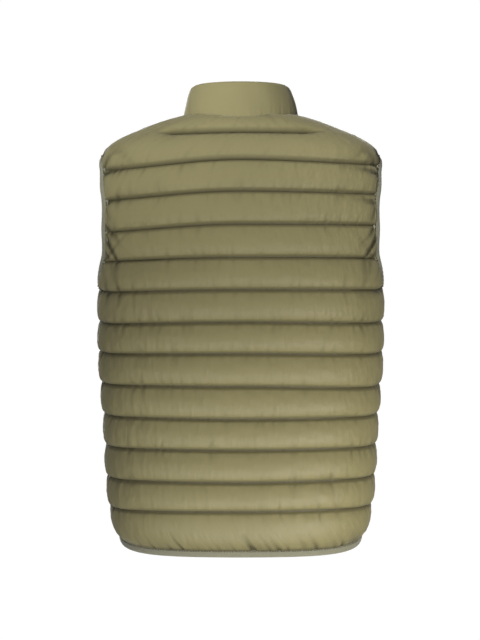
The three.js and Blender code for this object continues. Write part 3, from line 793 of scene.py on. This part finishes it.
def plain(name, color, roughness):
    material, tree, shader = node_material(name, roughness, color)
    place = tree.nodes.new("ShaderNodeTexCoord").outputs["Object"]
    grain = link_noise(tree, place, 900, 2)
    dark = tuple(0.8 * c for c in color)
    tree.links.new(ramp(tree, grain, [(0.35, dark), (0.7, color)]), shader.inputs["Base Color"])
    return material


NYLON = nylon("olive_nylon")
BINDING = knit("elastic_binding", (0.150, 0.148, 0.100), (0.255, 0.250, 0.180), 260)
TAPE = knit("zip_tape_weave", (0.10, 0.095, 0.055), (0.16, 0.15, 0.09), 420)
METAL = painted_metal("painted_zinc")
THREAD = plain("thread", (0.055, 0.05, 0.028), 0.7)
COIL = plain("coil_nylon", (0.13, 0.12, 0.07), 0.4)


# Panels
def dress(obj, slot, *nodes):
    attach(obj, BODY)
    if nodes:
        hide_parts(*nodes)


panels = [Panel("back", 0), Panel("front_left", 1), Panel("front_right", -1)]
cloths = [(panel, *panel.cloth_object()) for panel in panels]
for number in range(1, CLOTH_FRAMES + 1):
    bpy.context.scene.frame_set(number)
for panel, obj, index in cloths:
    panel.take_result(obj, index)
bpy.context.scene.frame_set(1)
for panel in panels:
    points, faces, line, uv = panel.finished_mesh()
    piece = new_mesh(panel.name + "_padded", points, faces, NYLON)
    add_values(piece, uv, line)
    dress(piece, "shell", panel.name)


def outward_faces(piece):
    work = bmesh.new()
    work.from_mesh(piece.data)
    bmesh.ops.recalc_face_normals(work, faces=work.faces)
    work.to_mesh(piece.data)
    work.free()


def ring_mesh(name, rings, closed, material):
    """A tube through a chain of rings: closed, or with flat ends."""
    rows, columns = rings.shape[:2]
    index = np.arange(rows * columns).reshape(rows, columns)
    if closed:
        index = np.concatenate([index, index[:1]])
    aside = np.roll(index, -1, axis=1)
    faces = np.stack([index[:-1], aside[:-1], aside[1:], index[1:]], -1).reshape(-1, 4).tolist()
    if not closed:
        faces.append(index[0].tolist())
        faces.append(index[-1][::-1].tolist())
    piece = new_mesh(name, rings.reshape(-1, 3) * MM, faces, material)
    outward_faces(piece)
    return piece


# Collar
COLLAR_TURNS = 260
COLLAR_SECTION_POINTS = 30
COLLAR_END_ANGLE = 0.008  # kept free beside the zip at each end, in radians
COLLAR_END_ROUND = 8.0
COLLAR_THIN = 0.55  # the share of its wall that is left along its edges
COLLAR_SWELL = {"low": 0.8, "flat": 0.7, "inside": 0.9, "top_round": 0.07}
COLLAR_GATHER = {"depth": 0.9, "seam_reach": 9, "top_reach": 6, "top_share": 0.25, "clear": 0.5}
COLLAR_RIPPLE = {"pace": 0.62, "slow_pace": 0.171, "slow_start": 1.1}
COLLAR_SOFT = {"depth": 0.7, "size": 55, "seed": 21}


def collar_frame(turn):
    foot = neck_points(turn)
    sine = np.sin(turn)
    behind = sine > 0
    reach = np.where(behind, NECK["back"], NECK["front"])
    outward = unit(np.stack([np.cos(turn) / NECK["side"], sine / reach, 0 * sine], -1))
    end_lean = np.where(behind, COLLAR_LEAN["back"], COLLAR_LEAN["front"])
    top = neck_points(np.array([math.pi / 2]))[0, 2] + COLLAR_HEIGHT["back"]
    end_height = np.where(behind, top - foot[:, 2], COLLAR_HEIGHT["front"])
    towards_end = np.where(behind, 1 - (1 - np.abs(sine)) ** COLLAR_CORNER, sine**2)
    lean = COLLAR_LEAN["side"] + (end_lean - COLLAR_LEAN["side"]) * sine**2
    height = COLLAR_HEIGHT["side"] + (end_height - COLLAR_HEIGHT["side"]) * towards_end
    upward = unit(np.stack([0 * sine, 0 * sine, height], -1) - outward * lean[:, None])
    face = unit(outward - upward * (outward * upward).sum(axis=1, keepdims=True))
    return foot, face, upward, height


def collar_section(steps):
    """The band's closed section: side (1 out, -1 in), share of its height, and share of its wall."""
    up = 0.5 - 0.5 * np.cos(np.linspace(0, math.pi, steps))
    full = np.sin(math.pi * up ** COLLAR_SWELL["low"]) ** COLLAR_SWELL["flat"]
    swell = COLLAR_THIN + (1 - COLLAR_THIN) * full
    top_round = COLLAR_SWELL["top_round"]
    swell *= np.sqrt(np.clip(1 - ((up - 1 + top_round) / top_round).clip(0) ** 2, 0, 1))
    outside = np.stack([swell, up], -1)
    inside = np.stack([-swell[::-1] * COLLAR_SWELL["inside"], up[::-1]], -1)
    return np.concatenate([outside, inside[1:]])


def collar():
    gap = math.asin(FRONT_GAP / 2 / NECK["side"])
    free = gap + COLLAR_END_ANGLE
    turns = np.linspace(-math.pi / 2 + free, 3 * math.pi / 2 - free, COLLAR_TURNS)
    foot, face, upward, height = collar_frame(turns)
    section = collar_section(COLLAR_SECTION_POINTS)
    length = length_along(foot)
    rings = []
    for i in range(len(turns)):
        tall = section[:, 1] * height[i]
        end = min(length[i], length[-1] - length[i])
        narrow = COLLAR_THIN + (1 - COLLAR_THIN) * float(pinch(end, COLLAR_END_ROUND))
        out = section[:, 0] * COLLAR_WALL / 2 * narrow + EDGE_WALL / 2
        near_top = np.exp(-(height[i] - tall) / COLLAR_GATHER["top_reach"])
        gather = np.exp(-tall / COLLAR_GATHER["seam_reach"]) + COLLAR_GATHER["top_share"] * near_top
        slow = math.sin(length[i] * COLLAR_RIPPLE["slow_pace"] + COLLAR_RIPPLE["slow_start"])
        ripple = math.sin(length[i] * COLLAR_RIPPLE["pace"]) * slow * COLLAR_GATHER["depth"]
        out += np.sign(section[:, 0]) * gather * ripple * (tall > COLLAR_GATHER["clear"])
        rings.append(foot[i] + face[i] * out[:, None] + upward[i] * tall[:, None])
    points = np.array(rings)
    soft = waves(points.reshape(-1, 3), COLLAR_SOFT["size"], COLLAR_SOFT["seed"]).reshape(points.shape[:2])
    points += face[:, None, :] * (COLLAR_SOFT["depth"] * soft * np.abs(section[:, 0]))[..., None]
    piece = ring_mesh("collar_padded", points, False, NYLON)
    # The height above the collar's seam stands as its line distance, so the material paints shade along the
    # collar's foot
    line = (section[:, 1] * height[:, None]).ravel()
    add_values(piece, np.stack([np.repeat(length, len(section)), line], -1) * MM, line)
    return piece


collar_piece = collar()
dress(collar_piece, "shell", "collar")


def ring_uv(length, across):
    return np.stack([np.repeat(length, len(across)), np.tile(across, len(length))], -1) * MM


# Bindings
BINDING_SECTION_POINTS = 28
BINDING_SQUARENESS = 0.7
BINDING_OVERLAP = 2.2  # how far the strip lies on the panel
BINDING_RIPPLE = {"depth": 0.28, "pace": 0.9, "slow_pace": 0.23, "slow_start": 0.7}
STITCH_COLUMNS = ("across", "spacing", "long", "thick")
STITCHES = {
    "armhole": (0.0, 4.6, 3.0, 1.5),
    "hem": (0.6, 4.2, 2.6, 0.9),
}
HEM_STEPS = {"front": 160, "back": 240}
STITCH_ROUND = 6
STITCH_RINGS = ((-0.5, 0.3), (-0.3, 1), (0.3, 1), (0.5, 0.3))  # share of its length, share of its thickness
STITCH_FLATNESS = 0.8


def binding(name, point, normal, outward, width, closed, node):
    """A folded elastic strip round an edge, with a soft roll at its open side."""
    turns = np.linspace(0, 2 * math.pi, BINDING_SECTION_POINTS, endpoint=False)
    low = SEAM_GAP - BINDING_OVERLAP
    wide = 0.5 + 0.5 * signed_power(np.cos(turns), BINDING_SQUARENESS)
    across = low + (width + SEAM_GAP - low) * wide
    deep = EDGE_WALL / 2 + BINDING_THICKNESS / 2 * signed_power(np.sin(turns), BINDING_SQUARENESS)
    length = length_along(point)
    slow = np.sin(length * BINDING_RIPPLE["slow_pace"] + BINDING_RIPPLE["slow_start"])
    ripple = BINDING_RIPPLE["depth"] * np.sin(length * BINDING_RIPPLE["pace"]) * slow
    rings = (
        point[:, None]
        + outward[:, None] * across[None, :, None]
        + normal[:, None] * (deep[None, :, None] + ripple[:, None, None] * np.sin(turns)[None, :, None])
    )
    piece = ring_mesh(name, rings, closed, BINDING)
    add_values(piece, ring_uv(length, across), np.zeros(rings.shape[0] * rings.shape[1]))
    dress(piece, "binding", node)


def rod_faces(start, rings, around):
    """The faces of a short rod with closed ends, whose rings begin at one point's number."""
    faces = []
    for k in range(rings - 1):
        a = start + around * k
        for m in range(around):
            n = (m + 1) % around
            faces.append((a + m, a + n, a + around + n, a + around + m))
    last = start + around * (rings - 1)
    faces.append(tuple(start + m for m in range(around - 1, -1, -1)))
    faces.append(tuple(last + m for m in range(around)))
    return faces


def stitches(name, kind, point, normal, outward):
    """Small dashes of thread along an edge, one joined mesh."""
    stitch = dict(zip(STITCH_COLUMNS, STITCHES[kind]))
    lift = EDGE_WALL / 2 + BINDING_THICKNESS / 2
    length = length_along(point)
    at = np.arange(stitch["spacing"] / 2, length[-1], stitch["spacing"])
    ring = np.linspace(0, 2 * math.pi, STITCH_ROUND, endpoint=False)
    points, faces = [], []
    for distance in at:
        i = min(int(np.searchsorted(length, distance)), len(point) - 1)
        j = max(i - 1, 0)
        along = unit(point[i] - point[j])
        middle = point[i] + outward[i] * stitch["across"] + normal[i] * lift
        side = unit(np.cross(along, normal[i]))
        start = len(points)
        for share, size in STITCH_RINGS:
            center = middle + along * share * stitch["long"]
            for angle in ring:
                spread = side * math.cos(angle) + normal[i] * math.sin(angle) * STITCH_FLATNESS
                points.append((center + spread * stitch["thick"] / 2 * size) * MM)
        faces.extend(rod_faces(start, len(STITCH_RINGS), STITCH_ROUND))
    piece = new_mesh(name, points, faces, THREAD)
    dress(piece, "shell")


for word, hand in (("left", 1), ("right", -1)):
    edge = ARMHOLES[hand]
    normal = form_normal(edge)
    along = unit(np.roll(edge, -1, axis=0) - np.roll(edge, 1, axis=0))
    outward = unit(np.cross(normal, along))
    inward = edge.mean(axis=0) - edge
    outward *= np.sign((outward * inward).sum(axis=1))[:, None]
    node = f"armhole_binding_{word}"
    binding(f"armhole_elastic_{word}", edge, normal, outward, ARMHOLE_BINDING, True, node)
    stitches(f"armhole_stitches_{word}", "armhole", edge, normal, outward)


def hem_edge():
    """The bottom edge from the zip round the left front, the back and the right front to the zip."""
    front = np.linspace(0, 1, HEM_STEPS["front"])
    back = np.linspace(0, 1, HEM_STEPS["back"])[1:-1]
    height = np.full(len(front), HEM_HEIGHT)
    left = front_points(1, height, 1 - front)[0]
    middle = back_points(np.full(len(back), HEM_HEIGHT), back)[0]
    right = front_points(-1, height, front)[0]
    return np.concatenate([left, middle, right])


hem = hem_edge()
hem_normal = through_wall(hem, np.full(len(hem), HEM_HEIGHT))
down = np.tile((0.0, 0.0, -1.0), (len(hem), 1))
binding("hem_elastic", hem, hem_normal, down, HEM_BINDING, False, "hem_binding")
stitches("hem_stitches", "hem", hem, hem_normal, down)


# Zip
ZIP_STEPS = 46
ZIP_BELOW_COLLAR = 10  # where the line leaves the front for the collar
ZIP_COLLAR_SHARES = (0.12, 0.35, 0.6, 0.82, 1)
COIL_PITCH = 1.5
COIL_ROUND = 8
COIL_HEIGHT = 0.62
COIL_DEPTH = 1.15
COIL_RINGS = ((COIL_HALF, 0.6), (COIL_HALF - 0.6, 1.0), (-0.9, 1.0), (-1.6, 0.55))  # across, thickness
TAPE_SECTION_POINTS = 16
TAPE_SQUARENESS = {"across": 0.4, "deep": 0.6}


def zip_line():
    """The middle of the closed zip, from below the hem to just under the collar's top."""
    low = HEM_HEIGHT - ZIP_BELOW
    foot, _, upward, height = collar_frame(np.array([-math.pi / 2]))
    z = np.linspace(low, foot[0, 2] - ZIP_BELOW_COLLAR, ZIP_STEPS)
    points = [(0, -float(form_front(value)), value) for value in z]
    for share in ZIP_COLLAR_SHARES:
        points.append(tuple(foot[0] + upward[0] * share * (height[0] - ZIP_BELOW_TOP)))
    return np.array(points)


def resample(line, step):
    length = length_along(line)
    at = np.arange(0, length[-1], step)
    return np.stack([np.interp(at, length, line[:, axis]) for axis in range(3)], -1)


def coil():
    """The closed coil: a row of rounded teeth from each side that meet in the middle."""
    line = resample(zip_line(), COIL_PITCH / 2)
    upward = unit(np.gradient(line, axis=0))
    outward = unit(np.cross((1.0, 0.0, 0.0), upward))
    points, faces = [], []
    ring = np.linspace(0, 2 * math.pi, COIL_ROUND, endpoint=False)
    for i in range(len(line)):
        hand = 1 if i % 2 else -1
        middle = line[i] + outward[i] * EDGE_WALL / 2
        start = len(points)
        for x, size in COIL_RINGS:
            for angle in ring:
                spread = upward[i] * math.cos(angle) * COIL_HEIGHT
                spread += outward[i] * math.sin(angle) * COIL_DEPTH
                points.append((middle + np.array((hand * x, 0, 0)) + spread * size) * MM)
        tooth = rod_faces(start, len(COIL_RINGS), COIL_ROUND)
        faces.extend(face if hand > 0 else face[::-1] for face in tooth)
    piece = new_mesh("zip_coil_teeth", points, faces, COIL)
    outward_faces(piece)
    dress(piece, "zip_coil", "zip_coil")


def tape(word, hand):
    """The part of a woven zip tape that shows, between the coil and the front's edge."""
    line = resample(zip_line(), TAPE_STEP)
    upward = unit(np.gradient(line, axis=0))
    outward = unit(np.cross((1.0, 0.0, 0.0), upward))
    inner, outer = COIL_HALF + SEAM_GAP, FRONT_GAP / 2 - SEAM_GAP
    turns = np.linspace(0, 2 * math.pi, TAPE_SECTION_POINTS, endpoint=False)
    wide = signed_power(np.cos(turns), TAPE_SQUARENESS["across"])
    across = (inner + outer) / 2 + (outer - inner) / 2 * wide
    deep = EDGE_WALL / 2 + TAPE_THICKNESS / 2 * signed_power(np.sin(turns), TAPE_SQUARENESS["deep"])
    rings = (
        line[:, None]
        + outward[:, None] * deep[None, :, None]
        + np.array((hand, 0.0, 0.0)) * across[None, :, None]
    )
    piece = ring_mesh(f"zip_tape_{word}_woven", rings, False, TAPE)
    length = np.arange(len(line)) * TAPE_STEP
    add_values(piece, ring_uv(length, across), np.zeros(rings.shape[0] * rings.shape[1]))
    dress(piece, "zip_tape", f"zip_tape_{word}")


coil()
tape("left", 1)
tape("right", -1)
for name in ("zip_slider", "zip_pull"):
    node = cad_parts[name]
    node.data.materials.clear()
    node.data.materials.append(METAL)


# Stage, light and camera
FLOOR_HEIGHT = -4.5
STUDIO_RADIUS = 9.0
CAMERA_DISTANCE = 3.2
CAMERA_HEIGHT = -0.308
CAMERA_SIDE = 0.001
VISIBLE_HEIGHT = 0.9856
SENSOR = 36.0
STUDIO_TURNS = 48
STUDIO_STEPS = 9
STUDIO_FLAT = 0.6  # the share of the radius where the floor is level


def stage():
    """A pale floor that rises into a round backdrop on all sides. It is seen, and lights nothing."""
    material, _, shader = node_material("pale_backdrop", 0.9, (0.05, 0.05, 0.05))
    shader.inputs["Emission Color"].default_value = (1, 1, 1, 1)
    shader.inputs["Emission Strength"].default_value = 1.0
    turns = np.linspace(0, 2 * math.pi, STUDIO_TURNS, endpoint=False)
    rings = [(STUDIO_RADIUS * STUDIO_FLAT, 0.0)]
    curve = STUDIO_RADIUS * (1 - STUDIO_FLAT)
    for angle in np.linspace(0, math.pi / 2, STUDIO_STEPS)[1:]:
        rings.append((STUDIO_RADIUS * STUDIO_FLAT + curve * math.sin(angle), curve * (1 - math.cos(angle))))
    rings.append((STUDIO_RADIUS, STUDIO_RADIUS))
    points = [(r * math.cos(t), r * math.sin(t), FLOOR_HEIGHT + z) for r, z in rings for t in turns]
    count = len(turns)
    faces = [tuple(range(count)), tuple(range(len(points) - count, len(points)))[::-1]]
    for i in range(len(rings) - 1):
        for j in range(count):
            k = (j + 1) % count
            faces.append((i * count + k, i * count + j, (i + 1) * count + j, (i + 1) * count + k))
    studio = new_mesh("studio", points, faces, material)
    studio.visible_diffuse = False
    studio.visible_glossy = False
    studio.visible_shadow = False


def area_light(name, place, target, size, power, spread, color, highlight):
    light = bpy.data.lights.new(name, "AREA")
    light.shape = "RECTANGLE"
    light.size, light.size_y = size
    light.energy = power
    light.spread = math.radians(spread)
    light.color = color
    obj = bpy.data.objects.new(name, light)
    obj.location = place
    obj.rotation_euler = (Vector(target) - Vector(place)).to_track_quat("-Z", "Y").to_euler()
    obj.visible_glossy = highlight
    bpy.context.scene.collection.objects.link(obj)


stage()
NEUTRAL = (1.0, 1.0, 1.0)
WARM = (1.0, 0.96, 0.86)
# The cloth is matt at the top in the photo, so the top light gives no highlight
LIGHT_COLUMNS = ("place", "target", "size", "power", "spread", "color", "highlight")
LIGHTS = {
    "top": ((1.0, 2.05, 0.7), (0.06, 0.06, 0.07), (1.9, 0.4), 3.5, 14, NEUTRAL, False),
    "low_centre": ((0.1, 2.2, -1.6), (0, 0.1, -0.61), (0.9, 0.6), 0.75, 26, NEUTRAL, True),
    "low_right": ((-1.2, 1.8, -1.2), (-0.15, 0.1, -0.62), (0.7, 0.7), 1.55, 26, WARM, True),
    "low_left": ((1.2, 1.8, -1.2), (0.14, 0.1, -0.55), (0.7, 0.7), 0.35, 26, NEUTRAL, True),
    "behind": ((0.3, -3.0, 0.2), (0, 0, -0.3), (2.0, 1.4), 50, 180, NEUTRAL, True),
}
WORLD_LIGHT = 0.168
for name, row in LIGHTS.items():
    area_light(name, **dict(zip(LIGHT_COLUMNS, row)))
world = bpy.data.worlds.new("studio")
world.use_nodes = True
world.node_tree.nodes["Background"].inputs["Color"].default_value = (1, 1, 1, 1)
world.node_tree.nodes["Background"].inputs["Strength"].default_value = WORLD_LIGHT
bpy.context.scene.world = world

camera_data = bpy.data.cameras.new("camera")
camera_data.sensor_width = SENSOR
camera_data.lens = SENSOR * CAMERA_DISTANCE / VISIBLE_HEIGHT
camera = bpy.data.objects.new("camera", camera_data)
camera.location = (CAMERA_SIDE, CAMERA_DISTANCE, CAMERA_HEIGHT)
camera.rotation_euler = (math.pi / 2, 0, math.pi)
bpy.context.scene.collection.objects.link(camera)
bpy.context.scene.camera = camera

bpy.context.scene.view_settings.view_transform = "Standard"
